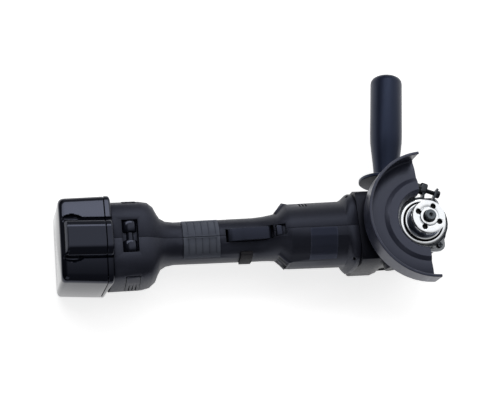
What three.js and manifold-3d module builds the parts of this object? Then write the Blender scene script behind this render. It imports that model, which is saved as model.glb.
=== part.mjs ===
// A cordless angle grinder for 100 mm wheels, lying on its back with the spindle pointing up.
// Millimetres. X runs forward to the gear case, Y to the side handle, Z up out of the spindle.
// Every sub-part is its own closed solid; pieces that touch keep a gap of 0.3 mm.
import * as THREE from 'three';
import { mergeVertices } from 'three/addons/utils/BufferGeometryUtils.js';
import Module from 'manifold-3d';

const wasm = await Module();
wasm.setup();

// ---- Driving dimensions. Heights are above the plane that the tool lies on; X = Y = 0 is the
// ---- spindle axis, and the whole group is moved to the middle of its own box at the end.
const gap = 0.3; // between pieces that touch

// Moulded body: foot, handle and motor barrel
const wall = 2.6;
const footRear = -286;
const footFront = -236.5;
const footWidth = 75;
const footTop = 59;
const footBottom = 11.6;
const handleFront = -150;
const handleWidth = 36.8;
const handleTop = 49.6;
const handleBottom = 12.2;
const barrelRear = -120;
const barrelRadius = 29.8;
const motorAxisHeight = 36.1;
const collarRear = -70;
const collarFront = -60;
const collarWidth = 68;
const collarTop = 65.4;
const collarBottom = 3.2;

// Battery pack, tilted on the end of the foot. Its lengths run along the pack's own axes.
const packTilt = 6 * (Math.PI / 180);
const packSeatX = -279.5;
const packHalfHeight = 29.3;
const packSeatHeight = packHalfHeight * Math.cos(packTilt);
const packLength = 45.5;
const packHalfWidth = 39;
const packDraft = 0.047; // each side narrows this much per millimetre toward the rear
const packLean = 0.05; // the rear face leans in toward the back of the tool
const ridgeLength = packLength - 4;
const ridgeTop = 37.5;
const ridgeHalfWidth = 14.5;
const shoulderTop = 33.5;
const valleyWidth = 3.4;
const valleyFloor = 30.5;
const lidDepth = 7.4; // from the seat to the lid's seam, halfway up
const lidSlope = 0.155; // the seam runs out toward the seat at the top
const packWall = 2.4;
const cellCount = 5;
const cellRoom = [4.5, 8.8]; // behind and ahead of the cells
const cellThickness = (packLength - cellRoom[0] - cellRoom[1] - (cellCount - 1) * gap) / cellCount;
const bladeSpacing = 11;

// Trigger and buttons
const paddleHalfWidth = 5.6;
const paddleRear = -175;
const paddleFront = -136;
const paddleTop = 54.6;
const hingeX = -171.5;
const hingeHeight = 43.5;
const buttonClearance = 0.35;
const tabRear = -133.4;
const tabFront = -130;
const tabTravel = 3.6;
const tabFoot = motorAxisHeight + 12.3; // clear of the commutator

// Motor
const shaftRadius = 3;
const canRadius = 22.5;
const canRear = -124;
const canFront = -78;
const fanRadius = 24;
const bladeCount = 9;

// Head
const caseHalfWidth = 28;
const noseRadius = 27;
const caseTop = motorAxisHeight + 15.2;
const caseHeelTop = caseTop + 8.7;
const flangeHalfWidth = 33.6;
const cavityFloor = motorAxisHeight - 7.6;
const boxFlangeTop = caseTop + 4.3;
const neckRadius = 21.5;
const neckTop = boxFlangeTop + 9.4;
const boxScrewX = 16;
const boxScrewY = 19.9;
const caseScrewY = 28;
const caseScrewHeights = [11.5, 57];
const guardBase = neckTop + 8.6;
const guardRadius = 57.5;
const guardSheet = 1.8;
const skirtHeight = 19.5;
const hubRadius = 23.7;
const guardTurn = 2.5 * (Math.PI / 180);
const bandRadius = 23.4;
const bandBottom = boxFlangeTop + 3;
const bandTop = neckTop + 0.1;
const clampAngle = 69 * (Math.PI / 180);
const clampSpread = 9 * (Math.PI / 180);
const clampRadius = 31;

// Spindle and wheel seat
const spindleRadius = 6;
const threadRadius = 5;
const flangeTop = neckTop + 11.6;
const nutRadius = 15.2;
const nutTop = flangeTop + 5.5;
const spindleTip = nutTop + 6;
const pinHoleCircle = 10.4;
const pinHoleRadius = 2.3;
const nutHoleStart = 61;
const lowerBearing = [caseTop + 2.7, caseTop + 12.7];
const upperBearing = [12, 19];

// Bevel pair: the teeth are drawn at the pitch radius and shrink toward the point where the
// two shafts meet.
const crownTeeth = 36;
const pinionTeeth = 9;
const crownPitch = 20;
const cavityRadius = crownPitch + 3;
const pinionPitch = crownPitch * pinionTeeth / crownTeeth;
const pressureAngle = 20 * (Math.PI / 180);
const crownTip = 0.55; // crown tooth above the pitch cone
const crownRoot = 1.55;
const pinionTip = 1.2;
const pinionRoot = 0.85;
const backlash = 0.45;
const crownTop = motorAxisHeight + 11.7; // the gear's flat back
const lockHoleCircle = 11.5;
const lockHoles = 16;

// Side handle, screwed into either of two bosses that lean forward
const sideLean = 8 * (Math.PI / 180);
const sideHeight = 45.6;
const sideAxisX = -29;
const bossReach = 36.2;
const bossRadius = 10.5;
const studRadius = 4;
const sideGripRadius = 14.2;
const sideGripEnd = 149.8;

// ---- Materials
const paint = (color, roughness, metalness = 0) =>
  new THREE.MeshStandardMaterial({ color, roughness, metalness });
const mouldedPlastic = paint('#383b44', 0.6);
const softGrip = paint('#5b5f68', 0.75);
const glossPlastic = paint('#22242c', 0.15);
const paintedCasting = paint('#3a3c45', 0.5, 0.3);
const paintedSheet = paint('#3d3f4a', 0.4, 0.4);
const bareCasting = paint('#a4a7ab', 0.45, 0.9);
const brightSteel = paint('#d9dcdf', 0.18, 1);
const darkSteel = paint('#4a4c50', 0.4, 0.9);
const copper = paint('#a8663c', 0.4, 0.9);
const carbon = paint('#2a2a2c', 0.8);
const ferrite = paint('#3a3634', 0.8);
const cellWrap = paint('#4d6f8f', 0.5);

// ---- Solids
// A closed three.js geometry as a manifold solid with its faces pointing out.
function solid(geometry) {
  const bare = geometry.clone();
  bare.deleteAttribute('normal');
  bare.deleteAttribute('uv');
  const merged = mergeVertices(bare, 1e-4);
  const corners = merged.index.array;
  const faces = [];
  for (let i = 0; i < corners.length; i += 3) {
    const [a, b, c] = corners.slice(i, i + 3);
    if (a !== b && b !== c && c !== a) faces.push(a, b, c);
  }
  const vertProperties = merged.attributes.position.array;
  const build = (list) =>
    new wasm.Manifold(new wasm.Mesh({ numProp: 3, vertProperties, triVerts: new Uint32Array(list) }));
  const made = build(faces);
  return made.volume() > 0 ? made : build(faces.reverse());
}

function toGeometry(shape) {
  const mesh = shape.getMesh();
  const geometry = new THREE.BufferGeometry();
  geometry.setAttribute('position', new THREE.Float32BufferAttribute(mesh.vertProperties, 3));
  geometry.setIndex(new THREE.Uint32BufferAttribute(mesh.triVerts, 1));
  geometry.computeVertexNormals();
  return geometry;
}

const union = (shapes) => shapes.reduce((whole, shape) => whole.add(shape));
const without = (shape, cutters) => cutters.reduce((rest, cutter) => rest.subtract(cutter), shape);

// A block between two corners.
function block(x0, x1, y0, y1, z0, z1) {
  const geometry = new THREE.BoxGeometry(x1 - x0, y1 - y0, z1 - z0);
  return solid(geometry.translate((x0 + x1) / 2, (y0 + y1) / 2, (z0 + z1) / 2));
}

// A round bar from one point to another, optionally tapered.
function rod(start, end, radius, sides = 10, endRadius = radius) {
  const from = new THREE.Vector3(...start);
  const along = new THREE.Vector3(...end).sub(from);
  const geometry = new THREE.CylinderGeometry(endRadius, radius, along.length(), sides);
  geometry.translate(0, along.length() / 2, 0);
  const turn = new THREE.Quaternion();
  turn.setFromUnitVectors(new THREE.Vector3(0, 1, 0), along.normalize());
  return solid(geometry.applyQuaternion(turn).translate(from.x, from.y, from.z));
}

// A profile of [radius, height] points turned about the vertical axis.
function turned(profile, sides = 24) {
  const points = profile.map(([radius, height]) => new THREE.Vector2(radius, height));
  return solid(new THREE.LatheGeometry(points, sides).rotateX(Math.PI / 2));
}

// The same, turned about the motor's axis, with heights running along X.
function turnedOnMotor(profile, sides = 20) {
  const points = profile.map(([radius, along]) => new THREE.Vector2(radius, along));
  const geometry = new THREE.LatheGeometry(points, sides).rotateZ(-Math.PI / 2);
  return solid(geometry.translate(0, 0, motorAxisHeight));
}

// A ring with a bore, as a profile for the two functions above.
function ringProfile(inner, outer, from, to) {
  return [[inner, from], [outer, from], [outer, to], [inner, to], [inner, from]];
}

// A closed skin through rings that all have the same number of points.
function loft(rings) {
  const count = rings[0].length;
  const points = rings.flat();
  const faces = [];
  for (let ring = 0; ring + 1 < rings.length; ring += 1) {
    for (let i = 0; i < count; i += 1) {
      const a = ring * count + i;
      const b = ring * count + ((i + 1) % count);
      faces.push(a, b, a + count, b, b + count, a + count);
    }
  }
  for (const [start, flip] of [[0, true], [(rings.length - 1) * count, false]]) {
    const middle = new THREE.Vector3();
    for (let i = 0; i < count; i += 1) middle.addScaledVector(points[start + i], 1 / count);
    points.push(middle);
    for (let i = 0; i < count; i += 1) {
      const a = start + i;
      const b = start + ((i + 1) % count);
      faces.push(...(flip ? [b, a, points.length - 1] : [a, b, points.length - 1]));
    }
  }
  const geometry = new THREE.BufferGeometry().setFromPoints(points);
  geometry.setIndex(faces);
  return solid(geometry);
}

// An outline drawn in the XY plane, raised between two heights.
function plate(shape, bottom, top, curveSegments = 6) {
  const geometry = new THREE.ExtrudeGeometry(shape, {
    depth: top - bottom, bevelEnabled: false, curveSegments,
  });
  return solid(geometry.translate(0, 0, bottom));
}

// An outline drawn as (X, height), run from one side to the other.
function sidePlate(shape, y0, y1, curveSegments = 6) {
  const geometry = new THREE.ExtrudeGeometry(shape, {
    depth: y1 - y0, bevelEnabled: false, curveSegments,
  });
  return solid(geometry.rotateX(Math.PI / 2).translate(0, y1, 0));
}

const grinder = new THREE.Group();
const pack = new THREE.Group();
pack.position.set(packSeatX, 0, packSeatHeight);
pack.rotation.y = packTilt;
grinder.add(pack);

function add(name, shape, material, parent = grinder) {
  const mesh = new THREE.Mesh(toGeometry(shape), material);
  mesh.name = name;
  parent.add(mesh);
}

// ---- Body form: half width, underside and back drawn along X, with oval sections between them
const widthLine = new THREE.Path()
  .moveTo(footRear, footWidth / 2)
  .lineTo(footFront - 15, footWidth / 2)
  .quadraticCurveTo(footFront - 3, footWidth / 2, footFront, footWidth / 2 - 11.5)
  .quadraticCurveTo(footFront + 2, handleWidth / 2, footFront + 15, handleWidth / 2)
  .lineTo(handleFront, handleWidth / 2 + 1.1)
  .quadraticCurveTo(barrelRear - 16, handleWidth / 2 + 1.4, barrelRear - 10, handleWidth / 2 + 2.4)
  .lineTo(barrelRear - 2.5, barrelRadius - 1.2)
  .lineTo(barrelRear, barrelRadius - 0.5)
  .lineTo(collarRear, barrelRadius + 0.3)
  .quadraticCurveTo(collarRear + 2, barrelRadius + 0.3, collarRear + 6, collarWidth / 2)
  .lineTo(collarFront + 1, collarWidth / 2);
const undersideLine = new THREE.Path()
  .moveTo(footRear, footTop)
  .lineTo(footFront - 12, footTop)
  .bezierCurveTo(footFront - 4, footTop, footFront, handleTop, footFront + 14, handleTop)
  .lineTo(handleFront - 28, handleTop - 1.6)
  .lineTo(handleFront, handleTop)
  .bezierCurveTo(handleFront + 12, handleTop + 1, barrelRear - 14,
    motorAxisHeight + barrelRadius - 1, barrelRear, motorAxisHeight + barrelRadius)
  .lineTo(collarRear, motorAxisHeight + barrelRadius)
  .lineTo(collarFront + 1, collarTop);
const backLine = new THREE.Path()
  .moveTo(footRear, footBottom)
  .lineTo(handleFront, handleBottom)
  .bezierCurveTo(handleFront + 14, handleBottom, barrelRear - 14,
    motorAxisHeight - barrelRadius + 1, barrelRear, motorAxisHeight - barrelRadius)
  .lineTo(collarRear, motorAxisHeight - barrelRadius)
  .lineTo(collarRear + 6, collarBottom)
  .lineTo(collarFront + 1, collarBottom);
// How square the sections are: 2 is an ellipse, larger is boxier.
const squareLine = new THREE.Path()
  .moveTo(footRear, 4.6)
  .lineTo(footFront - 8, 4.2)
  .lineTo(footFront + 10, 2.5)
  .lineTo(handleFront, 2.3)
  .lineTo(barrelRear, 2)
  .lineTo(collarRear, 2)
  .lineTo(collarRear + 4, 3.6)
  .lineTo(collarFront + 1, 3.6);

// How much the sides lean: the body is this share wider at its back than halfway up.
const leanLine = new THREE.Path()
  .moveTo(footRear, 0.09)
  .lineTo(footFront - 12, 0.09)
  .lineTo(footFront + 14, 0)
  .lineTo(collarFront + 1, 0);

function valueAt(line, x) {
  const points = line.getPoints(8);
  const next = Math.max(1, points.findIndex((point) => point.x >= x));
  const [a, b] = [points[next - 1], points[next]];
  return THREE.MathUtils.mapLinear(x, a.x, b.x, a.y, b.y);
}

// One oval ring of the body at x, grown by `grow` all round.
function bodyRing(x, grow, sides) {
  const half = valueAt(widthLine, x) + grow;
  const top = valueAt(undersideLine, x) + grow;
  const bottom = valueAt(backLine, x) - grow;
  const power = 2 / valueAt(squareLine, x);
  const ring = [];
  for (let i = 0; i < sides; i += 1) {
    const angle = (i + 0.5) * 2 * Math.PI / sides;
    const across = Math.sign(Math.cos(angle)) * Math.abs(Math.cos(angle)) ** power;
    const up = Math.sign(Math.sin(angle)) * Math.abs(Math.sin(angle)) ** power;
    const reach = half * (1 - valueAt(leanLine, x) * up);
    ring.push(new THREE.Vector3(x, reach * across, (top + bottom) / 2 + (top - bottom) / 2 * up));
  }
  return ring;
}

const stations = widthLine.getPoints(3).map((point) => point.x);
function bodyForm(grow, from = footRear, to = collarFront, sides = 22) {
  const between = stations.filter((x) => x > from + 1 && x < to - 1);
  return loft([from, ...between, to].map((x) => bodyRing(x, grow, sides)));
}

// The plane of the pack's seat, as a large block in front of it.
function aheadOfSeat(offset) {
  const geometry = new THREE.BoxGeometry(400, 200, 400).translate(200 + offset, 0, 0);
  return solid(geometry.rotateY(packTilt).translate(packSeatX, 0, packSeatHeight));
}

// ---- Housing, in two halves that meet on the middle plane
const sides = [['right', -1], ['left', 1]];
const padSpan = [-214.8, -182.5];
const padEdge = 42;
const louvreHeights = [30.5, 35.5, 40.5, 45.5];
const sideVents = [-108.6, -105.8, -103];
const motorRibs = [-120, -86];
const rearBearingX = -143;

// Louvre blocks on the shoulders, where the handle widens to the motor.
const louvreBlocks = sides.map(([, side]) => plate(new THREE.Shape()
  .moveTo(barrelRear - 11.3, side * (handleWidth / 2 + 1.4))
  .lineTo(barrelRear - 2.6, side * (barrelRadius + 0.2))
  .lineTo(barrelRear + 1, side * (barrelRadius - 3))
  .lineTo(barrelRear - 8, side * (handleWidth / 2 - 2)), 27, 48.5));
const bodySkin = union([bodyForm(0), ...louvreBlocks]).intersect(aheadOfSeat(0));
const lugBox = block(-270.8, -252.2, -15.3, 18.3, 47.4, 57.5);
const collarPosts = caseScrewHeights.flatMap((height) => sides.map(([, side]) =>
  rod([collarRear + 1, side * caseScrewY, height], [collarFront, side * caseScrewY, height], 5)));
const ribs = motorRibs.map((x) => turnedOnMotor(ringProfile(canRadius + gap, 34, x, x + 3.5)));
const bearingRib = turnedOnMotor(ringProfile(8.3, 20, rearBearingX + 1, rearBearingX + 6));
const hollow = bodyForm(-wall, footRear, collarFront + 1).intersect(aheadOfSeat(wall));
const insides = union([lugBox, ...collarPosts, ...ribs, bearingRib])
  .intersect(bodyForm(-1)).intersect(aheadOfSeat(1));

const handleCuts = [
  block(paddleRear - 2, paddleFront + 0.7, -paddleHalfWidth - 0.4, paddleHalfWidth + 0.4, 44.7, 70),
  block(paddleRear - 2, -145.5, -paddleHalfWidth - 0.4, paddleHalfWidth + 0.4, 38, 70),
  block(tabRear - 0.6, tabFront + tabTravel + 0.6, -5, 5, tabFoot - 1.4, 70),
  rod([hingeX, -30, hingeHeight], [hingeX, 30, hingeHeight], 1.8, 12)
    .intersect(block(-200, -100, -10.4, 10.4, 0, 80)),
  block(-164.4, -153.2, -30, -10.2, 27, 45),
  block(-268.5, -254.5, -13, 16, 50, 70),
  bodyForm(1).subtract(bodyForm(-1)).intersect(
    block(padSpan[0] - gap, padSpan[1] + gap, -40, 40, padEdge - gap, 70)),
];
const ventCuts = sides.flatMap(([, side]) => [
  ...louvreHeights.map((height) => {
    const slit = new THREE.BoxGeometry(10.4, 22, 2.2).rotateZ(side * 0.9);
    return solid(slit.translate(barrelRear - 6.2, side * 24, height));
  }),
  block(-266.8, -254.2, Math.min(side * 28, side * 45), Math.max(side * 28, side * 45), 21.7, 52.3),
]);
const smallVents = sideVents.map((x) => block(x - 0.7, x + 0.7, 15, 40, 49, 56));
const collarBores = caseScrewHeights.flatMap((height) => sides.map(([, side]) =>
  rod([collarFront - 6.5, side * caseScrewY, height], [-50, side * caseScrewY, height], 2, 8)));
// The opening in the foot's rear wall for the terminal block, in the pack's tilted frame.
const terminalHole = solid(new THREE.BoxGeometry(20, 40.6, 16.6).rotateY(packTilt)
  .translate(packSeatX, 0, packSeatHeight));

const shell = without(bodySkin.subtract(hollow).add(insides),
  [...handleCuts, ...ventCuts, ...smallVents, ...collarBores, terminalHole]);
for (const [name, side] of sides) {
  const half = block(-400, 100, Math.min(side * gap / 2, side * 80),
    Math.max(side * gap / 2, side * 80), -10, 100);
  const largest = shell.intersect(half).decompose()
    .sort((a, b) => b.volume() - a.volume())[0];
  add(`housing_${name}`, largest, mouldedPlastic);
}

// ---- Soft grip pads in their recess, with cross grooves
const padGrooves = [-210.5, -204.4, -198.3, -192.2, -186.1];
const padSkin = bodyForm(0.8).subtract(bodyForm(-0.7));
const grooveDepths = bodyForm(2).subtract(bodyForm(0.3));
for (const [name, side] of sides) {
  const area = block(padSpan[0], padSpan[1], Math.min(side * gap, side * 40),
    Math.max(side * gap, side * 40), padEdge, 70);
  const grooves = padGrooves.map((x) => block(x - 0.5, x + 0.5, Math.min(side * 1.5, side * 40),
    Math.max(side * 1.5, side * 40), padEdge + 3.2, 80).intersect(grooveDepths));
  add(`grip_pad_${name}`, without(padSkin.intersect(area), grooves), softGrip);
}

// ---- Trigger paddle on its pin, lock-off tab, side lock button, switch
const paddleSide = new THREE.Shape()
  .moveTo(paddleRear, 47)
  .quadraticCurveTo(-170, 52.6, -158, 53.6)
  .lineTo(-141, paddleTop)
  .quadraticCurveTo(paddleFront, paddleTop, paddleFront, 50)
  .lineTo(-147, 49.6)
  .lineTo(-149, 41.5)
  .lineTo(-160, 41)
  .lineTo(paddleRear, 41);
add('trigger_paddle', sidePlate(paddleSide, -paddleHalfWidth, paddleHalfWidth)
  .subtract(rod([hingeX, -10, hingeHeight], [hingeX, 10, hingeHeight], 1.8, 16))
  .subtract(block(-160, -138, -3.7, 3.7, 30, 51)), mouldedPlastic);
add('trigger_pin', rod([hingeX, -10, hingeHeight], [hingeX, 10, hingeHeight], 1.5, 16), brightSteel);
add('lock_off_tab', block(tabRear, tabFront, -4.6, 4.6, tabFoot + 0.6, tabFoot + 9.6)
  .add(block(tabRear, tabFront, -6.6, 6.6, tabFoot, tabFoot + 2.6)), mouldedPlastic);
add('side_lock_button', bodyForm(2)
  .intersect(block(-164.4 + buttonClearance, -153.2 - buttonClearance, -30, -13.5,
    27 + buttonClearance, 45 - buttonClearance)), mouldedPlastic);
add('switch_body', union([
  block(-178, -146, -8, 8, 17, 34),
  block(-158, -150, -3, 3, 33.5, 37),
  ...[-6, 0, 6].map((y) => block(-182, -177.5, y - 0.4, y + 0.4, 22, 27)),
]), darkSteel);

// ---- Strap lug and release buttons on the foot
const lugTop = 59.4;
const lugOutline = new THREE.Shape()
  .moveTo(-268, -12)
  .lineTo(-259, -12.6)
  .lineTo(-255.5, -10.8)
  .lineTo(-255.5, -4)
  .lineTo(-261, -4)
  .lineTo(-261, 7)
  .lineTo(-255.5, 7)
  .lineTo(-255.5, 13)
  .quadraticCurveTo(-256, 15.6, -259, 15.6)
  .lineTo(-265, 15.6)
  .quadraticCurveTo(-268, 15.6, -268, 13)
  .lineTo(-268, 7)
  .lineTo(-266, 7)
  .lineTo(-266, -4)
  .lineTo(-268, -4);
add('strap_lug', plate(lugOutline, 50 + gap, lugTop, 3)
  .subtract(block(-270, -250, -4, 7, 40, 52.5))
  .subtract(block(-270, -250, -4, 7, 57.6, 70)), mouldedPlastic);
for (const [name, side] of sides) {
  const cap = bodyForm(0.4).intersect(block(-266.4, -254.6, Math.min(side * 33.2, side * 45),
    Math.max(side * 33.2, side * 45), 22.1, 51.9));
  const ridges = [-3, 0, 3].map((x) => block(x - 261, x - 260, Math.min(side * 37, side * 45),
    Math.max(side * 37, side * 45), 20, 60));
  add(`release_button_${name}`, without(cap, ridges), mouldedPlastic);
}

// ---- Battery pack
// A rounded rectangle across the pack at x, as a ring for a loft.
function packRing(x, y0, y1, z0, z1, radius, perCorner = 2, lean = 0) {
  const corners = [[y1, z1, 0], [y0, z1, 1], [y0, z0, 2], [y1, z0, 3]];
  return corners.flatMap(([y, z, quarter]) => {
    const centreY = y + (y === y1 ? -radius : radius);
    const centreZ = z + (z === z1 ? -radius : radius);
    return Array.from({ length: perCorner + 1 }, (_, i) => {
      const angle = (quarter + i / perCorner) * Math.PI / 2;
      const height = centreZ + radius * Math.sin(angle);
      return new THREE.Vector3(x + lean * (z1 - height), centreY + radius * Math.cos(angle), height);
    });
  });
}

// The pack's outside between two planes across it, with a valley on each side of its ridge.
function packForm(rear, front, grow) {
  const atSeat = rear > -20;
  const ring = (x, inset, lean = 0) => {
    const half = packHalfWidth + x * packDraft - inset + grow;
    return packRing(x, -half, half, -packHalfHeight + inset, shoulderTop - inset + grow, 4, 2, lean);
  };
  const body = atSeat
    ? loft([ring(rear, 0), ring(front, 0)])
    : loft([ring(rear, 3, packLean), ring(rear + 4, 0.4, packLean), ring(rear + 7, 0), ring(front, 0)]);
  const ridgeRing = (x, inset) => packRing(x, -ridgeHalfWidth + inset, ridgeHalfWidth - inset,
    20 + inset, ridgeTop - inset + grow, 3.6);
  const end = Math.max(rear, -ridgeLength);
  const ridge = atSeat
    ? loft([ridgeRing(end, 0), ridgeRing(front, 0)])
    : loft([ridgeRing(end, 3), ridgeRing(end + 1.5, 0.9), ridgeRing(end + 4, 0), ridgeRing(front, 0)]);
  const valleys = [-1, 1].map((side) => block(-ridgeLength + 1, 10,
    Math.min(side * (ridgeHalfWidth - 0.4), side * (ridgeHalfWidth + valleyWidth)),
    Math.max(side * (ridgeHalfWidth - 0.4), side * (ridgeHalfWidth + valleyWidth)),
    valleyFloor + grow, 60));
  return without(body, valleys).add(ridge);
}

// All that lies ahead of the slanted seam between the lid and the case.
function aheadOfSeam(offset) {
  const geometry = new THREE.BoxGeometry(80, 200, 200).translate(40, 0, 0);
  return solid(geometry.rotateY(Math.atan(lidSlope)).translate(offset - lidDepth, 0, 0));
}

const packHollow = block(-packLength + 4.2, 10, -34, 34, -packHalfHeight + packWall, 28);
const scallops = [-1, 1].map((side) => {
  const oval = new THREE.SphereGeometry(1, 8, 6).scale(8, 2.9, 3);
  return solid(oval.translate(-packLength + 10.5, side * (ridgeHalfWidth + valleyWidth / 2), 32.6));
});
add('battery_case', without(packForm(-packLength, -gap, 0),
  [aheadOfSeam(-gap), packHollow, ...scallops]), glossPlastic, pack);
add('battery_lid', without(packForm(-lidDepth - 8, -gap, 0.4).intersect(aheadOfSeam(0)), [
  block(-20, -packWall - gap, -34, 34, -packHalfHeight + packWall, 28),
  ...[-1, 0, 1].map((place) =>
    block(-20, 10, place * bladeSpacing - 1.2, place * bladeSpacing + 1.2, -5.2, 5.2)),
]), glossPlastic, pack);
const cellPitch = cellThickness + gap;
for (let i = 0; i < cellCount; i += 1) {
  const rear = -packLength + cellRoom[0] + i * cellPitch;
  const pouch = packRing(rear, -33, 33, -26, 26, 3);
  const front = packRing(rear + cellThickness, -33, 33, -26, 26, 3);
  add(`cell_${i + 1}`, loft([pouch, front]), cellWrap, pack);
}
add('terminal_block', without(block(gap, 10, -20, 20, -8, 8), [-1, 0, 1].map((place) =>
  block(-1, 20, place * bladeSpacing - 0.7, place * bladeSpacing + 0.7, -4.3, 4.3))),
mouldedPlastic, pack);
for (const place of [-1, 0, 1]) {
  const y = place * bladeSpacing;
  add(`terminal_blade_${place + 2}`, block(-5.5, 13, y - 0.4, y + 0.4, -4, 4), copper, pack);
}

// ---- Motor: can, magnets, rotor, brushes, fan and bearings on one axis
add('motor_can', turnedOnMotor([[12, canRear], [canRadius, canRear], [canRadius, canFront],
  [canRadius - 1.8, canFront], [canRadius - 1.8, canRear + 1.8], [12, canRear + 1.8],
  [12, canRear]]), darkSteel);
for (const [name, side] of sides) {
  const arc = turnedOnMotor(ringProfile(16.8, 20.4, -118, -84))
    .intersect(block(-130, -70, Math.min(side * 6, side * 40), Math.max(side * 6, side * 40), 0, 80));
  add(`magnet_${name}`, arc, ferrite);
}
add('motor_shaft', rod([rearBearingX, 0, motorAxisHeight], [-12, 0, motorAxisHeight],
  shaftRadius, 20), brightSteel);
const stackRadius = 16.2;
const slotCount = 6;
const stackSlots = Array.from({ length: slotCount }, (_, i) => {
  const slot = new THREE.BoxGeometry(60, 3.4, 2.6).translate(0, 0, 0);
  slot.translate(0, 13.2, 0).rotateX(i * 2 * Math.PI / slotCount);
  return solid(slot.translate(-101, 0, motorAxisHeight));
});
add('laminations', without(turnedOnMotor(ringProfile(shaftRadius + gap, stackRadius,
  -117, -85), 24), stackSlots), darkSteel);
const barCount = 12;
const barGaps = Array.from({ length: barCount }, (_, i) => {
  const slit = new THREE.BoxGeometry(30, 1, 0.35).translate(0, 8.6, 0);
  return solid(slit.rotateX(i * 2 * Math.PI / barCount).translate(-130.5, 0, motorAxisHeight));
});
add('commutator', without(turnedOnMotor([[shaftRadius + gap, -136], [8.6, -136], [8.6, -127],
  [10, -126.4], [10, -125.4], [shaftRadius + gap, -125.4], [shaftRadius + gap, -136]], 24),
barGaps), copper);
const brushBack = handleWidth / 2 - 1.6; // clear of the handle's wall
for (const [name, side] of sides) {
  add(`brush_${name}`, block(-134, -128.5, Math.min(side * 9, side * brushBack),
    Math.max(side * 9, side * brushBack), motorAxisHeight - 3, motorAxisHeight + 3), carbon);
}
const fanDisc = turnedOnMotor([[shaftRadius + gap, -76], [fanRadius, -76], [fanRadius, -74.6],
  [8, -74.2], [7, -67], [shaftRadius + gap, -67], [shaftRadius + gap, -76]], 24);
const fanBlades = Array.from({ length: bladeCount }, (_, i) => {
  const blade = new THREE.BoxGeometry(7.4, fanRadius - 10, 1.4).rotateX(0.35);
  blade.translate(0, fanRadius / 2 + 4.6, 0).rotateX(i * 2 * Math.PI / bladeCount);
  return solid(blade.translate(-71.2, 0, motorAxisHeight));
});
add('fan', union([fanDisc, ...fanBlades]).intersect(
  turnedOnMotor([[0, -77], [fanRadius, -77], [fanRadius, -66], [0, -66]], 24)), mouldedPlastic);
const bearing = (bore, outer, from, to) => [[bore, from], [outer, from], [outer, to - 0.4],
  [outer - 0.4, to], [bore, to], [bore, from]];
add('motor_bearing_rear', turnedOnMotor(bearing(shaftRadius + gap, 8, rearBearingX + 1.3,
  rearBearingX + 5.7), 18), brightSteel);
add('motor_bearing_front', turnedOnMotor(bearing(shaftRadius + gap, 10.7, -57.4, -50.6), 20),
  brightSteel);

// ---- Bevel pair: a nine-tooth pinion turns a crown gear four times slower
// Half of a tooth's angle on the pinion at a radius, from the involute of its base circle.
function pinionHalfAngle(radius) {
  const base = pinionPitch * Math.cos(pressureAngle);
  const involute = (angle) => Math.tan(angle) - angle;
  const atPitch = (Math.PI * pinionPitch / pinionTeeth + 0.5 - backlash / 2) / (2 * pinionPitch);
  const angle = Math.acos(Math.min(1, base / radius));
  return atPitch + involute(pressureAngle) - involute(angle);
}
// The pinion's outline at the pitch radius; `scale` shrinks it toward the meeting point.
function pinionRing(scale) {
  const ring = [];
  const step = 2 * Math.PI / pinionTeeth;
  const radii = [pinionPitch - pinionRoot, pinionPitch * 0.97, pinionPitch + 0.6,
    pinionPitch + pinionTip];
  for (let tooth = 0; tooth < pinionTeeth; tooth += 1) {
    const flank = radii.map((radius) => [radius, pinionHalfAngle(radius)]);
    const whole = [...flank.map(([r, a]) => [r, -a]), ...flank.reverse()];
    for (const [radius, angle] of whole) {
      const turn = tooth * step + angle;
      ring.push(new THREE.Vector3(-crownPitch * scale, radius * scale * Math.sin(turn),
        motorAxisHeight + radius * scale * Math.cos(turn)));
    }
  }
  return ring;
}
add('pinion', loft([pinionRing(0.7), pinionRing(1.06)])
  .add(rod([-27, 0, motorAxisHeight], [-21, 0, motorAxisHeight], 4.6, 24))
  .subtract(rod([-40, 0, motorAxisHeight], [0, 0, motorAxisHeight], shaftRadius + gap, 24)),
brightSteel);

// The crown gear's toothed face, four corners to a tooth with straight flanks.
function crownRing(scale) {
  const halfAtPitch = (Math.PI * crownPitch / crownTeeth - 0.5 - backlash / 2) / 2;
  const corners = [[-1, crownRoot], [-1, -crownTip], [1, -crownTip], [1, crownRoot]];
  return Array.from({ length: crownTeeth }, (_, tooth) => corners.map(([side, depth]) => {
    const half = halfAtPitch + depth * Math.tan(pressureAngle);
    const angle = (tooth + 0.5) * 2 * Math.PI / crownTeeth + side * half / crownPitch;
    return new THREE.Vector3(crownPitch * scale * Math.cos(angle),
      crownPitch * scale * Math.sin(angle), motorAxisHeight + (pinionPitch + depth) * scale);
  })).flat();
}
// The gear's back: the same corners laid on a level circle.
const crownBack = (scale, height) => crownRing(scale).map((point) => point.setZ(height));
const crownBlank = loft([crownRing(0.72), crownRing(1.09), crownBack(1.09, crownTop - 1.8),
  crownBack(0.8, crownTop)])
  .subtract(rod([0, 0, 0], [0, 0, crownTop + 12], spindleRadius + gap, 16))
  .subtract(rod([0, 0, 0], [0, 0, crownTop - 6.6], crownPitch * 0.7, crownTeeth));
const pinHoles = Array.from({ length: lockHoles }, (_, i) => {
  const angle = i * 2 * Math.PI / lockHoles;
  const [x, y] = [lockHoleCircle * Math.cos(angle), lockHoleCircle * Math.sin(angle)];
  return rod([x, y, 0], [x, y, crownTop - 1.3], 1.7, 6);
});
add('crown_gear', without(crownBlank, pinHoles), brightSteel);

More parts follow.
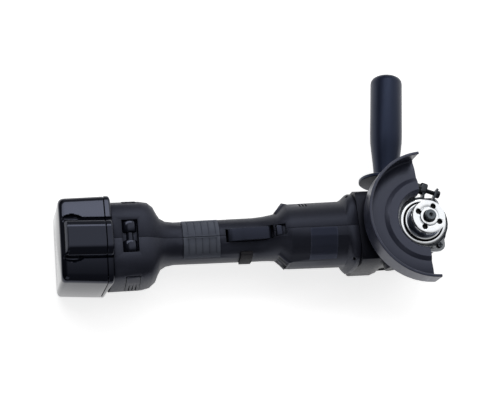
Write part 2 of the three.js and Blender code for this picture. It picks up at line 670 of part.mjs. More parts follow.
// ---- Spindle, its bearings and the wheel's two flanges
const tipDimple = turned([[0, spindleTip - 1.6], [1.7, spindleTip + 0.1], [0, spindleTip + 0.1]], 10);
add('spindle', turned([[0, upperBearing[0] - 0.4], [4, upperBearing[0] - 0.4], [4, 20.5],
  [spindleRadius, 21.5], [spindleRadius, crownTop + 0.5], [7.6, crownTop + 0.5],
  [7.6, lowerBearing[0] - gap],
  [spindleRadius, lowerBearing[0] - gap], [spindleRadius, flangeTop - 1.5],
  [threadRadius, flangeTop - 1.2], [threadRadius, spindleTip - 0.9], [threadRadius - 0.9, spindleTip],
  [0, spindleTip]], 20).subtract(tipDimple), darkSteel);
add('spindle_bearing_upper', turned(bearing(4 + gap, 8, ...upperBearing), 18), brightSteel);
add('spindle_bearing_lower', turned(bearing(spindleRadius + gap, 16, ...lowerBearing), 24),
  brightSteel);
const flangeFoot = neckTop + 0.6;
add('inner_flange', turned([[spindleRadius + gap, flangeFoot], [16.9, flangeFoot],
  [16.9, flangeFoot + 1.4], [15.5, flangeFoot + 2],
  [15.5, flangeTop - 0.5], [15, flangeTop], [9, flangeTop], [9, flangeTop - 1.2],
  [spindleRadius + gap, flangeTop - 1.2], [spindleRadius + gap, flangeFoot]], 30), brightSteel);
const nutHoles = Array.from({ length: 4 }, (_, i) => {
  const angle = (i * 90 + nutHoleStart) * Math.PI / 180;
  const [x, y] = [pinHoleCircle * Math.cos(angle), pinHoleCircle * Math.sin(angle)];
  return rod([x, y, flangeTop - 6], [x, y, nutTop + 8], pinHoleRadius);
});
add('lock_nut', without(turned([[threadRadius + gap, flangeTop + gap], [nutRadius, flangeTop + gap],
  [nutRadius, nutTop - 0.6], [nutRadius - 0.6, nutTop], [8.3, nutTop], [7.9, nutTop + 1],
  [threadRadius + gap, nutTop + 1], [threadRadius + gap, flangeTop + gap]], 30), nutHoles),
brightSteel);

// ---- Gear case: a rear flange that meets the collar, and a rounded nose over the gears
const heelRing = (x, half, bottom, top) => packRing(x, -half, half, bottom, top, 9, 2);
const caseHeel = loft([heelRing(collarFront + gap, flangeHalfWidth, 2.4, 65.8),
  heelRing(-44, flangeHalfWidth, 2, 65.2), heelRing(-39.5, 33.5, 1, 61),
  heelRing(-33, 31, 0, caseHeelTop), heelRing(-30.5, 29, 0, caseTop + 4)]);
const casePlan = new THREE.Shape()
  .moveTo(-45, -30)
  .lineTo(-30, -caseHalfWidth - 0.6)
  .lineTo(0, -noseRadius - 0.6)
  .absarc(0, 0, noseRadius, -Math.PI / 2, Math.PI / 2)
  .lineTo(0, noseRadius + 0.6)
  .lineTo(-30, caseHalfWidth + 0.6)
  .lineTo(-45, 30);
const caseSide = new THREE.Shape()
  .moveTo(-46, 0)
  .lineTo(11, 0)
  .quadraticCurveTo(20, 1.5, 24, 12)
  .lineTo(28, 28)
  .lineTo(28, caseTop)
  .lineTo(-46, caseTop);
const caseFront = new THREE.Shape()
  .moveTo(-20, 0)
  .lineTo(20, 0)
  .quadraticCurveTo(30, 0.5, 31, 14)
  .lineTo(31, caseTop)
  .lineTo(-31, caseTop)
  .lineTo(-31, 14)
  .quadraticCurveTo(-30, 0.5, -20, 0);
const acrossX = new THREE.ExtrudeGeometry(caseFront, { depth: 90, bevelEnabled: false, curveSegments: 3 })
  .rotateX(Math.PI / 2).rotateZ(Math.PI / 2).translate(-55, 0, 0);
const caseNose = plate(casePlan, 0, caseTop, 7).intersect(sidePlate(caseSide, -40, 40))
  .intersect(solid(acrossX));
const sideAxis = (side) => [Math.sin(sideLean), side * Math.cos(sideLean)];
const sidePoint = (side, distance) => [sideAxisX + distance * sideAxis(side)[0],
  distance * sideAxis(side)[1], sideHeight];
const bosses = sides.map(([, side]) =>
  rod(sidePoint(side, 24), sidePoint(side, bossReach), bossRadius + 0.8, 16, bossRadius));
const bossBores = sides.map(([, side]) =>
  rod(sidePoint(side, 24), sidePoint(side, 60), studRadius + gap, 12));
const caseScrewBores = caseScrewHeights.flatMap((height) => sides.flatMap(([, side]) => [
  rod([-70, side * caseScrewY, height], [-40, side * caseScrewY, height], 2, 8),
  rod([-46, side * caseScrewY, height], [-10, side * caseScrewY, height], 3.6, 12),
]));
const boxScrewPlaces = [[1, 1], [-1, 1], [-1, -1], [1, -1]].map(([a, b]) =>
  [a * boxScrewX, b * boxScrewY]);
const boxScrewBores = boxScrewPlaces.map(([x, y]) =>
  rod([x, y, boxFlangeTop - 11.6], [x, y, boxFlangeTop + 5], 1.9, 8));
const caseCuts = [
  block(-30.2, 40, -25.4, 25.4, caseTop, caseTop + 30),
  turned([[0, cavityFloor], [cavityRadius, cavityFloor], [cavityRadius, caseTop + 9], [0, caseTop + 9]]),
  turned([[0, upperBearing[0] - 0.7], [8.3, upperBearing[0] - 0.7], [8.3, 40], [0, 40]], 18),
  turnedOnMotor([[0, -80], [11, -80], [11, -50.3], [9, -50.3], [9, -10], [0, -10]]),
  rod([lockHoleCircle, 0, -5], [lockHoleCircle, 0, 9], 5.6, 18),
  rod([lockHoleCircle, 0, 5], [lockHoleCircle, 0, 40], 1.7, 14),
];
add('gear_case', without(union([caseHeel, caseNose, ...bosses]),
  [...caseCuts, ...bossBores, ...caseScrewBores, ...boxScrewBores]), paintedCasting);

// ---- Bearing box on the gear case, with the neck that carries the guard
const boxCorner = 7;
const boxPlan = new THREE.Shape()
  .moveTo(-21.5 + boxCorner, -25)
  .lineTo(21.5 - boxCorner, -25)
  .quadraticCurveTo(21.5, -25, 21.5, -25 + boxCorner)
  .lineTo(21.5, 25 - boxCorner)
  .quadraticCurveTo(21.5, 25, 21.5 - boxCorner, 25)
  .lineTo(-21.5 + boxCorner, 25)
  .quadraticCurveTo(-21.5, 25, -21.5, 25 - boxCorner)
  .lineTo(-21.5, -25 + boxCorner)
  .quadraticCurveTo(-21.5, -25, -21.5 + boxCorner, -25);
const neck = turned([[0, caseTop + 0.7], [neckRadius, caseTop + 0.7], [neckRadius, neckTop],
  [0, neckTop]], 30);
const boxBore = turned([[0, caseTop - 1], [16.3, caseTop - 1], [16.3, lowerBearing[1] + gap],
  [9, lowerBearing[1] + gap], [9, neckTop + 5], [0, neckTop + 5]], 24);
add('bearing_box', without(plate(boxPlan, caseTop + gap, boxFlangeTop, 4).add(neck),
  [boxBore, ...boxScrewBores]), bareCasting);
add('neck_ring', turned(ringProfile(18.3, 21.2, neckTop + gap, neckTop + gap + 1), 30), brightSteel);

// ---- Screws with cross recesses
function crossRecess(radius, depth) {
  const arm = new THREE.BoxGeometry(radius * 1.5, radius * 0.32, depth);
  return solid(arm.clone()).add(solid(arm.clone().rotateZ(Math.PI / 2)));
}
function screw(shankLength, headRadius, headHeight) {
  const shank = rod([0, 0, -shankLength], [0, 0, 0.2], 1.6, 8);
  const head = rod([0, 0, 0], [0, 0, headHeight], headRadius, 12, headRadius * 0.9);
  return shank.add(head).subtract(crossRecess(headRadius, 1.6).translate([0, 0, headHeight]));
}
boxScrewPlaces.forEach(([x, y], i) => {
  add(`box_screw_${i + 1}`, screw(10, 2.6, 2.2).translate([x, y, boxFlangeTop + gap]), bareCasting);
});
caseScrewHeights.forEach((height, row) => sides.forEach(([name, side]) => {
  const turnedScrew = screw(19, 3.2, 2.8).rotate([0, 90, 0]);
  add(`case_screw_${row === 0 ? 'back' : 'front'}_${name}`,
    turnedScrew.translate([-45.6, side * caseScrewY, height]), darkSteel);
}));

// ---- Guard: a pressed half disc with a stepped web, a funnel to its hub and a rolled rim
const hubFoot = guardBase - 12;
const guardProfile = [[hubRadius, hubFoot], [hubRadius + guardSheet, hubFoot],
  [hubRadius + guardSheet, guardBase - 5.2], [29, guardBase + 2.2], [35.8, guardBase + 2.2],
  [39.5, guardBase], [guardRadius - 2, guardBase], [guardRadius, guardBase + 2],
  [guardRadius, guardBase + skirtHeight], [guardRadius - 2.5, guardBase + skirtHeight],
  [guardRadius - 2.5, guardBase + skirtHeight - 1.4],
  [guardRadius - guardSheet, guardBase + skirtHeight - 1.6],
  [guardRadius - guardSheet, guardBase + 2.4], [guardRadius - 2.6, guardBase + guardSheet],
  [38.7, guardBase + guardSheet], [35, guardBase + 4], [28, guardBase + 4],
  [hubRadius, guardBase - 4.8], [hubRadius, hubFoot]];
const keptHalf = solid(new THREE.BoxGeometry(100, 200, 100).translate(-50, 0, 80)
  .rotateZ(guardTurn).translate(-2.5, 0, 0));
add('guard', turned(guardProfile, 52).intersect(keptHalf), paintedSheet);

// ---- Guard clamp: a split band, two ears, a screw and its nut
const earAngles = [clampAngle - clampSpread, clampAngle + clampSpread];
const bandGap = new THREE.Shape()
  .moveTo(0, 0)
  .lineTo(40 * Math.cos(earAngles[0]), 40 * Math.sin(earAngles[0]))
  .lineTo(40 * Math.cos(earAngles[1]), 40 * Math.sin(earAngles[1]));
const ears = earAngles.map((angle, i) => {
  const ear = new THREE.BoxGeometry(14, 2, bandTop - bandBottom);
  ear.translate(29, i === 0 ? -1 : 1, (bandTop + bandBottom) / 2).rotateZ(angle);
  return solid(ear);
});
const clampPoint = (along, height = (bandBottom + bandTop) / 2) => [
  clampRadius * Math.cos(clampAngle) + along * Math.sin(clampAngle),
  clampRadius * Math.sin(clampAngle) - along * Math.cos(clampAngle), height];
add('guard_band', without(turned(ringProfile(neckRadius + gap, bandRadius, bandBottom, bandTop), 30)
  .subtract(plate(bandGap, bandBottom - 8, bandTop + 8)).add(union(ears)),
[rod(clampPoint(-20), clampPoint(20), 2.4, 14)]),
darkSteel);
add('clamp_screw', rod(clampPoint(-10), clampPoint(9.6), 2)
  .add(rod(clampPoint(-12.2), clampPoint(-8.1), 4.4, 6))
  .subtract(rod(clampPoint(-14), clampPoint(-10.2), 2, 6)), darkSteel);
add('clamp_nut', rod(clampPoint(8), clampPoint(9.8), 3.6, 6)
  .subtract(rod(clampPoint(0), clampPoint(20), 2.3)), darkSteel);

// ---- Spindle lock: a cap on the nose with a pin that drops into the crown gear
const lockPinTop = motorAxisHeight + 3.3;
add('spindle_lock_button', turned([[0, 0.9], [4.4, 0.9], [5.2, 1.6], [5.2, 4.6], [1.3, 4.6],
  [1.3, lockPinTop], [0, lockPinTop]], 16).translate([lockHoleCircle, 0, 0]), mouldedPlastic);

// ---- Side handle
function alongSide(profile, count = 22) {
  const points = profile.map(([radius, distance]) => new THREE.Vector2(radius, distance));
  const geometry = new THREE.LatheGeometry(points, count).rotateZ(-sideLean);
  return solid(geometry.translate(sideAxisX, 0, sideHeight));
}
const gripLine = new THREE.Path()
  .moveTo(12.2, 47)
  .quadraticCurveTo(11.2, 49, 11.3, 53)
  .bezierCurveTo(11.8, 66, 14, 74, sideGripRadius, 84)
  .lineTo(sideGripRadius, sideGripEnd - 9)
  .quadraticCurveTo(sideGripRadius, sideGripEnd - 1, 7, sideGripEnd);
const grip = alongSide([[studRadius + gap, bossReach + gap], [9, bossReach + gap], [9.4, 43.4],
  [24.4, 43.4], [25, 44], [25, 46], [24.4, 46.6],
  ...gripLine.getPoints(3).map((point) => [point.x, point.y]), [0, sideGripEnd], [0, 70],
  [studRadius + gap, 70], [studRadius + gap, bossReach + gap]]);
add('side_handle_grip', grip, mouldedPlastic);
add('side_handle_stud', alongSide([[0, 26], [studRadius - 0.6, 26], [studRadius, 26.8],
  [studRadius, 69.6], [0, 69.6]], 14), brightSteel);

// ---- Stand the group on its origin: the middle of its box, on the ground
grinder.updateMatrixWorld(true);
const box = new THREE.Box3().setFromObject(grinder, true);
const middle = box.getCenter(new THREE.Vector3());
grinder.position.set(-middle.x, -middle.y, -box.min.z);
grinder.name = 'angle_grinder';

export default grinder;
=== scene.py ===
# A cordless angle grinder lying on its back, spindle up, put together piece by piece.
# Metres, in the frame of the solids: X runs forward to the gear case, Y to the side handle, Z up.
import math

import bpy
from mathutils import Euler, Matrix, Vector


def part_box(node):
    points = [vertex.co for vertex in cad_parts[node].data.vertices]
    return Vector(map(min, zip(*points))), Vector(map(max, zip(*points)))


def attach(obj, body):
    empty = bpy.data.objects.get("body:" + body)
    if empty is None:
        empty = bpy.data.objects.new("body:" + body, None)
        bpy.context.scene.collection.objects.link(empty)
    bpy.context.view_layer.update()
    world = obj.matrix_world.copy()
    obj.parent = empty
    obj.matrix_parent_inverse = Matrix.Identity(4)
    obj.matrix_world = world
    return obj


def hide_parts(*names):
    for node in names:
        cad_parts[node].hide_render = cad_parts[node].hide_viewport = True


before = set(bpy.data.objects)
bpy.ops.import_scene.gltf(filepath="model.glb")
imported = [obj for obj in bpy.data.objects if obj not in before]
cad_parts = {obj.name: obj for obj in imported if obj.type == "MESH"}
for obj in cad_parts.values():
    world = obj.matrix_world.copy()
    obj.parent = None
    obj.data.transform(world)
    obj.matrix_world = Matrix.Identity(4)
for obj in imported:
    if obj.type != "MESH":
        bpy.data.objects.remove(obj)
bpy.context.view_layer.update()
bpy.ops.object.select_all(action="DESELECT")

# ---- Motor stator: a deep-drawn steel can, zinc plated, with two pressed ferrite arcs glued
# ---- inside it. Both are hidden by the housing once the tool is closed.


def linear(colour):
    """An sRGB hex colour as the linear values that a shader takes."""
    parts = [int(colour[i:i + 2], 16) / 255 for i in (1, 3, 5)]
    return [p / 12.92 if p < 0.04045 else ((p + 0.055) / 1.055) ** 2.4 for p in parts] + [1]


def add_node(tree, kind, settings=None, inputs=None):
    """Adds a node. An input is a value, or the socket that feeds it."""
    node = tree.nodes.new(kind)
    for name, value in (settings or {}).items():
        setattr(node, name, value)
    for name, value in (inputs or {}).items():
        if isinstance(value, bpy.types.NodeSocket):
            tree.links.new(value, node.inputs[name])
        else:
            node.inputs[name].default_value = value
    return node


def surface(name, colour, shade, roughness, grain, depth, **shader_inputs):
    """A finish that drifts between two colours, with a painted highlight along its sharp edges,
    where it is also made smoother. Its grain and its relief are in mm."""
    drift, spread, edge_smoothing = 22, 0.12, 0.3
    material = bpy.data.materials.new(name)
    material.use_nodes = True
    tree = material.node_tree
    place = add_node(tree, "ShaderNodeTexCoord").outputs["Object"]
    cloud = add_node(tree, "ShaderNodeTexNoise", None,
                     {"Vector": place, "Scale": 1000 / drift, "Detail": 4.0, "Roughness": 0.55})
    speck = add_node(tree, "ShaderNodeTexNoise", None,
                     {"Vector": place, "Scale": 1000 / grain, "Detail": 2.0})
    tint = add_node(tree, "ShaderNodeMix", {"data_type": "RGBA"},
                    {0: cloud.outputs["Fac"], 6: linear(colour), 7: linear(shade)})
    # Painted highlight: sharp edges, where the cloud is thick, are tinted lighter and made
    # smoother.
    edge = add_node(tree, "ShaderNodeMapRange", None,
                    {"Value": add_node(tree, "ShaderNodeNewGeometry").outputs["Pointiness"],
                     "From Min": 0.52, "From Max": 0.6, "To Max": 0.8})
    painted_edge_highlight = add_node(tree, "ShaderNodeMath", {"operation": "MULTIPLY"},
                    {0: edge.outputs["Result"], 1: cloud.outputs["Fac"]})
    highlight_colour = [min(0.9, 2.4 * part + 0.012) for part in linear(shade)[:3]] + [1]
    highlighted_tint = add_node(tree, "ShaderNodeMix", {"data_type": "RGBA"},
                         {0: painted_edge_highlight.outputs[0], 6: tint.outputs[2], 7: highlight_colour})
    sheen = add_node(tree, "ShaderNodeMapRange", None,
                     {"Value": speck.outputs["Fac"], "From Min": 0.3, "From Max": 0.7,
                      "To Min": roughness * (1 - spread), "To Max": roughness * (1 + spread)})
    edge_roughness = add_node(tree, "ShaderNodeMath", {"operation": "MULTIPLY_ADD"},
                          {0: painted_edge_highlight.outputs[0], 1: -edge_smoothing * roughness,
                           2: sheen.outputs["Result"]})
    relief = add_node(tree, "ShaderNodeBump", {"name": "relief"},
                      {"Distance": depth / 1000, "Height": speck.outputs["Fac"], "Strength": 1.0})
    shader = tree.nodes["Principled BSDF"]
    tree.links.new(highlighted_tint.outputs[2], shader.inputs["Base Color"])
    tree.links.new(edge_roughness.outputs[0], shader.inputs["Roughness"])
    tree.links.new(relief.outputs["Normal"], shader.inputs["Normal"])
    for socket, value in shader_inputs.items():
        value = linear(value) if isinstance(value, str) else value
        shader.inputs[socket.replace("_", " ")].default_value = value
    return material


def dress(material, *names):
    """Gives carried-over solids their material."""
    for name in names:
        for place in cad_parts[name].material_slots:
            place.link = "OBJECT"
            place.material = material


# Zinc-plated drawn steel: cool grey metal with a faint bloom.
zinc_plate = surface("zinc_plated_steel", "#a9adb0", "#9a9ea2", 0.38, 1.4, 0.01, Metallic=1.0)
# Pressed ferrite: dull charcoal with a dusty, slightly brown grain.
ferrite = surface("pressed_ferrite", "#37342f", "#2c2a27", 0.72, 1.0, 0.05)
dress(zinc_plate, "motor_can")
dress(ferrite, "magnet_right", "magnet_left")

# ---- Rotor: a ground steel shaft through a stack of 0.5 mm electrical sheets, a moulded
# ---- commutator of copper bars pressed against two carbon brushes, and a moulded fan.


def add_lines(material, pitch, depth, kind, direction, place=(0, 0, 0)):
    """Adds fine lines to a finish: bands along an axis, or rings round one that runs through a
    place in metres. The pitch and the depth of the lines are in mm."""
    tree = material.node_tree
    way = "bands_direction" if kind == "BANDS" else "rings_direction"
    where = add_node(tree, "ShaderNodeMapping", None,
                     {"Vector": add_node(tree, "ShaderNodeTexCoord").outputs["Object"],
                      "Location": [-value for value in place]})
    wave = add_node(tree, "ShaderNodeTexWave", {"wave_type": kind, way: direction},
                    {"Vector": where.outputs["Vector"], "Scale": 2 * math.pi / (20 * pitch / 1000)})
    lines = add_node(tree, "ShaderNodeBump", None,
                     {"Distance": depth / 1000, "Height": wave.outputs["Fac"], "Strength": 1.0,
                      "Normal": tree.nodes["relief"].outputs["Normal"]})
    tree.links.new(lines.outputs["Normal"], tree.nodes["Principled BSDF"].inputs["Normal"])
    return material


# Stacked electrical sheet: blued steel edges; the 0.5 mm sheets are drawn 1 mm thick to show.
sheet_stack = add_lines(surface("electrical_sheet_stack", "#5b5f66", "#4b4e55", 0.45, 1.0, 0.01,
                                Metallic=1.0), 1.0, 0.12, "BANDS", "X")
# Ground shaft steel: bright, with fine turning marks round it.
ground_steel = surface("ground_shaft_steel", "#c4c7ca", "#b7babd", 0.24, 0.9, 0.004, Metallic=1.0)
# Drawn copper: warm, slightly tarnished between the bars.
bar_copper = surface("drawn_copper", "#b9744c", "#9c5f3d", 0.34, 1.2, 0.01, Metallic=1.0)
# Pressed carbon graphite: almost black, with a soft grey sheen.
carbon = surface("pressed_carbon_graphite", "#222224", "#2b2b2d", 0.5, 0.8, 0.02)
# Moulded fan nylon: plain charcoal with a light satin.
fan_nylon = surface("moulded_fan_nylon", "#24252a", "#2a2b31", 0.48, 1.3, 0.02)
dress(ground_steel, "motor_shaft")
dress(sheet_stack, "laminations")
dress(bar_copper, "commutator")
dress(carbon, "brush_right", "brush_left")
dress(fan_nylon, "fan")

# ---- Bearings and bevel pair: chrome steel races, a small pinion cut on the motor shaft's end
# ---- and a case-hardened crown gear pressed on the spindle, both lightly oiled.
# Chrome bearing steel: bright ground faces.
race_steel = surface("chrome_bearing_steel", "#cdd0d3", "#c0c3c7", 0.18, 0.9, 0.003, Metallic=1.0)
# Case-hardened gear steel: grey with a dark temper tint and an oily shine.
gear_steel = surface("case_hardened_gear_steel", "#83858a", "#6c6b6c", 0.26, 1.5, 0.012,
                     Metallic=1.0)
dress(race_steel, "motor_bearing_rear", "motor_bearing_front", "spindle_bearing_upper",
      "spindle_bearing_lower")
dress(gear_steel, "pinion", "crown_gear")

# ---- Gear case: pressure die-cast aluminium, blasted and powder coated satin black, with the
# ---- square flange that four screws pull against the housing and a boss on either side.


def put_on(piece, material, body, slot, *solids):
    """Finishes a modelled piece: its material, its body and the solids it stands for. Its slot is
    not used.
    """
    piece.data.materials.clear()
    piece.data.materials.append(material)
    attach(piece, body)
    if solids:
        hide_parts(*solids)


def only(piece):
    """Makes one object the selected and active one."""
    bpy.ops.object.select_all(action="DESELECT")
    bpy.context.view_layer.objects.active = piece
    piece.select_set(True)


def smooth(piece, angle=32):
    """Shades a piece smooth, apart from edges that are sharper than an angle."""
    only(piece)
    bpy.ops.object.shade_smooth_by_angle(angle=math.radians(angle))


def soften(piece, width, segments=3, angle=32):
    """Rounds the edges that are sharper than an angle, over a width in mm."""
    only(piece)
    bpy.ops.object.modifier_add(type="BEVEL")
    edge = piece.modifiers[-1]
    edge.width = width / 1000
    edge.segments = segments
    edge.limit_method = "ANGLE"
    edge.angle_limit = math.radians(angle)
    edge.use_clamp_overlap = True
    edge.harden_normals = False
    edge.miter_outer = "MITER_ARC"
    bpy.ops.object.modifier_apply(modifier=edge.name)


def joined_copy(solid, name):
    """A copy of a solid with its loose triangles joined and its flat faces made whole."""
    piece = bpy.data.objects.new(name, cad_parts[solid].data.copy())
    bpy.context.scene.collection.objects.link(piece)
    only(piece)
    bpy.ops.mesh.customdata_custom_splitnormals_clear()
    bpy.ops.object.mode_set(mode="EDIT")
    bpy.ops.mesh.select_all(action="SELECT")
    bpy.ops.mesh.remove_doubles(threshold=2e-6)
    bpy.ops.mesh.dissolve_limited(angle_limit=math.radians(0.4))
    bpy.ops.object.mode_set(mode="OBJECT")
    return piece


# Black powder coat on cast aluminium: satin, with a fine orange peel.
powder = surface("black_powder_coat", "#0b0c11", "#111218", 0.42, 1.6, 0.03,
                 Specular_IOR_Level=0.24, Specular_Tint="#d2d8f4")
casting = joined_copy("gear_case", "gear_housing")
soften(casting, 0.9, 3, 34)
smooth(casting)
put_on(casting, powder, "body", "painted_casting", "gear_case")

# ---- Bearing box: a bare aluminium die casting over the lower bearing, its neck turned for the
# ---- guard's band. Four blackened screws hold it, and a plated ring keeps a felt seal in it.
# Bare die-cast aluminium: soft grey with a mottled skin.
bare_cast = surface("bare_die_cast_aluminium", "#9a9da1", "#86898d", 0.4, 1.3, 0.02, Metallic=1.0)
cover = joined_copy("bearing_box", "bearing_cover")
soften(cover, 0.7, 3, 34)
smooth(cover)
put_on(cover, bare_cast, "body", "bare_casting", "bearing_box")
# Blackened steel: near-black oxide with an oily grey sheen.
black_oxide = surface("blackened_steel", "#2b2e32", "#383b3f", 0.3, 0.9, 0.01, Metallic=1.0)
dress(black_oxide, "box_screw_1", "box_screw_2", "box_screw_3", "box_screw_4")

spindle_low, spindle_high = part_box("spindle")
axle = Vector(((spindle_low.x + spindle_high.x) / 2, (spindle_low.y + spindle_high.y) / 2, 0))


def turn(name, line, foot, axis=(0, 0, 1), side=(1, 0, 0), steps=72):
    """Spins a line of (radius, height) points, in mm, into a solid round an axis through foot."""
    places = [Vector(foot) + Vector(side) * radius / 1000 + Vector(axis) * height / 1000
              for radius, height in line]
    bpy.ops.mesh.primitive_plane_add(size=0.001, location=places[0])
    piece = bpy.context.object
    piece.name = name
    bpy.ops.object.transform_apply(location=True)
    bpy.ops.object.mode_set(mode="EDIT")
    bpy.ops.mesh.merge(type="CENTER")
    for here, there in zip(places, places[1:]):
        bpy.ops.mesh.extrude_vertices_move(TRANSFORM_OT_translate={"value": there - here})
    bpy.ops.mesh.select_all(action="SELECT")
    bpy.ops.mesh.remove_doubles(threshold=1e-6)
    bpy.ops.mesh.select_all(action="SELECT")
    bpy.ops.mesh.spin(steps=steps, angle=2 * math.pi, center=foot, axis=axis)
    bpy.ops.mesh.select_all(action="SELECT")
    bpy.ops.mesh.remove_doubles(threshold=2e-6)
    bpy.ops.mesh.normals_make_consistent(inside=False)
    bpy.ops.object.mode_set(mode="OBJECT")
    return piece


# Polished nickel plate on turned steel: near white, with fine rings left by the lathe. The real
# 0.1 mm feed is drawn 0.9 mm apart so that it shows.
nickel = add_lines(surface("polished_nickel_plate", "#eef1f4", "#e4e7eb", 0.12, 0.9, 0.002,
                           Metallic=1.0), 0.9, 0.006, "RINGS", "Z", axle)
low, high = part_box("neck_ring")
ring = turn("neck_seal_ring", [(18.5, 0), (21.2, 0), (21.2, 0.5), (21.0, 0.7), (20.2, 0.85),
                               (19.2, 1.0), (18.8, 1.0), (18.6, 0.8), (18.5, 0)],
            (axle.x, axle.y, low.z))
smooth(ring, 40)
put_on(ring, nickel, "body", "bright_steel", "neck_ring")
# Wool felt: black, soaked with grease, without any shine.
felt = surface("greased_wool_felt", "#0d0d0f", "#141416", 0.9, 0.8, 0.05, Specular_IOR_Level=0.1)
sunk = 0.00024
seal = turn("felt_seal", [(13, 0), (18.4, 0), (18.4, 0.3), (18.1, 0.36), (13.2, 0.36), (13, 0)],
            (axle.x, axle.y, low.z - sunk))
smooth(seal, 30)
put_on(seal, felt, "body", "moulded_plastic")

# ---- Spindle: turned and ground steel, blackened, with a 2 mm thread at its end and the
# ---- lathe's centre hole in its tip.
# Blackened thread: the same oxide, worn paler along the crests.
thread_oxide = add_lines(surface("blackened_thread", "#5a6065", "#4a4f54", 0.3, 0.9, 0.008,
                                 Metallic=1.0), 2.0, 0.5, "BANDS", "Z")
tip = (spindle_high.z - spindle_low.z) * 1000
shaft = turn("spindle_shaft", [(0, 0), (3.6, 0), (4, 0.4), (4, 8.9), (6, 9.9), (6, tip - 39.8),
                               (7.6, tip - 39.8), (7.6, tip - 34.4), (6, tip - 34.4),
                               (6, tip - 13.0), (5, tip - 12.7), (5, tip - 1.0), (4.1, tip),
                               (1.9, tip), (0.9, tip - 1.7), (0, tip - 2.2)],
             (axle.x, axle.y, spindle_low.z))
smooth(shaft, 30)
put_on(shaft, thread_oxide, "spindle_unit", "dark_steel", "spindle")

# ---- Wheel flange and lock nut: both turned from steel and nickel plated. The nut has four
# ---- blind holes for the two pins of its wrench.
low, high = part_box("inner_flange")
top = (high.z - low.z) * 1000
flange = turn("wheel_flange", [(6.3, 0), (16.5, 0), (16.9, 0.4), (16.9, 1.56), (16.76, 1.7),
                               (15.8, 1.85), (15.5, 2.1), (15.5, top - 0.6), (15, top),
                               (9, top), (9, top - 1.2), (6.3, top - 1.2), (6.3, 0)],
              (axle.x, axle.y, low.z))
smooth(flange, 30)
put_on(flange, nickel, "spindle_unit", "bright_steel", "inner_flange")
# Painted reflection: the flange's side is coloured blue-black, for the dark parts round it that its
# nickel would mirror.
flange_side_reflection = surface("flange_side_painted_reflection", "#5d6679", "#6b7488", 0.32, 1.2, 0.003,
                        Metallic=1.0)
flange.data.materials.append(flange_side_reflection)
side_radius, reach, steepest = 15.5, 0.3, 0.7
for face in flange.data.polygons:
    out = (face.center - axle).xy.length * 1000
    if abs(out - side_radius) < reach and abs(face.normal.z) < steepest:
        face.material_index = 1


def cut_out(piece, tool):
    """Cuts a tool's shape out of a piece and takes the tool away."""
    only(piece)
    bpy.ops.object.modifier_add(type="BOOLEAN")
    piece.modifiers[-1].object = tool
    bpy.ops.object.modifier_apply(modifier=piece.modifiers[-1].name)
    bpy.data.objects.remove(tool)


low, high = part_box("lock_nut")
nut = turn("wheel_nut", [(5.3, 0), (14.8, 0), (15.2, 0.4), (15.2, 1.7), (14.8, 1.9),
                         (14.8, 2.3), (15.2, 2.5), (15.2, 4.6), (14.7, 5.2), (9.3, 5.2),
                         (9.2, 4.5), (8.6, 4.5), (8.4, 5.6), (8.0, 6.2), (5.8, 6.2), (5.3, 5.7),
                         (5.3, 0)], (axle.x, axle.y, low.z), steps=96)
pin_circle, pin_radius, hole_floor, drill_length = 0.0104, 0.0026, 0.0014, 0.008
holes = [axle + Vector((math.cos(turned_by), math.sin(turned_by), 0)) * pin_circle
         for turned_by in (math.radians(61 + 90 * quarter) for quarter in range(4))]
for hole in holes:
    bpy.ops.mesh.primitive_cylinder_add(vertices=32, radius=pin_radius, depth=drill_length,
                                        location=(hole.x, hole.y,
                                                  low.z + hole_floor + drill_length / 2))
    cut_out(nut, bpy.context.object)
soften(nut, 0.18, 2, 50)
smooth(nut, 30)
put_on(nut, nickel, "nut", "bright_steel", "lock_nut")
# Painted shade: the four wrench holes, below their top rim, are coloured almost black for the shade
# deep inside them.
hole_shade = surface("nut_holes_painted_shade", "#1b1d20", "#131416", 0.5, 0.9, 0.01)
nut.data.materials.append(hole_shade)
slack, bright_depth = 0.00004, 0.0013
for face in nut.data.polygons:
    in_a_hole = any((face.center - hole).xy.length < pin_radius + slack for hole in holes)
    if in_a_hole and face.center.z < high.z - bright_depth:
        face.material_index = 1

# ---- Spindle lock: a nylon cap on the nose of the case, with a steel-cored pin that drops into
# ---- a hole of the crown gear. Here it lies underneath.
# Moulded nylon 6: black with a light satin, as on all the controls.
switch_nylon = surface("moulded_nylon_6", "#12141c", "#181a23", 0.34, 1.1, 0.02,
                       Specular_IOR_Level=0.4, Specular_Tint="#c6d0f6")
cap = joined_copy("spindle_lock_button", "spindle_lock_cap")
soften(cap, 0.4, 2, 34)
smooth(cap)
put_on(cap, switch_nylon, "spindle_lock", "moulded_plastic", "spindle_lock_button")

# ---- Switch and terminals: a moulded switch behind the paddle, and a block of three copper
# ---- blades that slide into the pack.
# Tinned copper: pale, with a warm edge.
tinned = surface("tinned_copper", "#c9b9a4", "#bda58c", 0.3, 0.8, 0.008, Metallic=1.0)
dress(switch_nylon, "switch_body", "terminal_block")
dress(tinned, "terminal_blade_1", "terminal_blade_2", "terminal_blade_3")

# ---- Motor housing: two halves in glass-filled nylon, moulded in one tool with a spark-eroded
# ---- finish and screwed together along the middle. They make the foot, handle and barrel.
# Black glass-filled nylon: matt, with a soft grey bloom from the eroded mould.
nylon = surface("glass_filled_nylon", "#15161e", "#1b1c25", 0.46, 0.9, 0.035,
                Specular_IOR_Level=0.45, Specular_Tint="#d0d8f4")
# The rear corners of the louvred shoulders are drawn in, so that their step is blunter.
shoulder_out, step_rear, step_front, drawn_in = 28.9, -124, -121.5, 0.0024
for side, outward in (("right", -1), ("left", 1)):
    half = joined_copy("housing_" + side, "housing_shell_" + side)
    for corner in half.data.vertices:
        out = outward * (corner.co.y - axle.y) * 1000
        ahead = (corner.co.x - axle.x) * 1000
        if out > shoulder_out and step_rear < ahead < step_front:
            corner.co.y -= outward * drawn_in
    soften(half, 0.5, 2, 40)
    smooth(half)
    put_on(half, nylon, "body", "moulded_plastic", "housing_" + side)

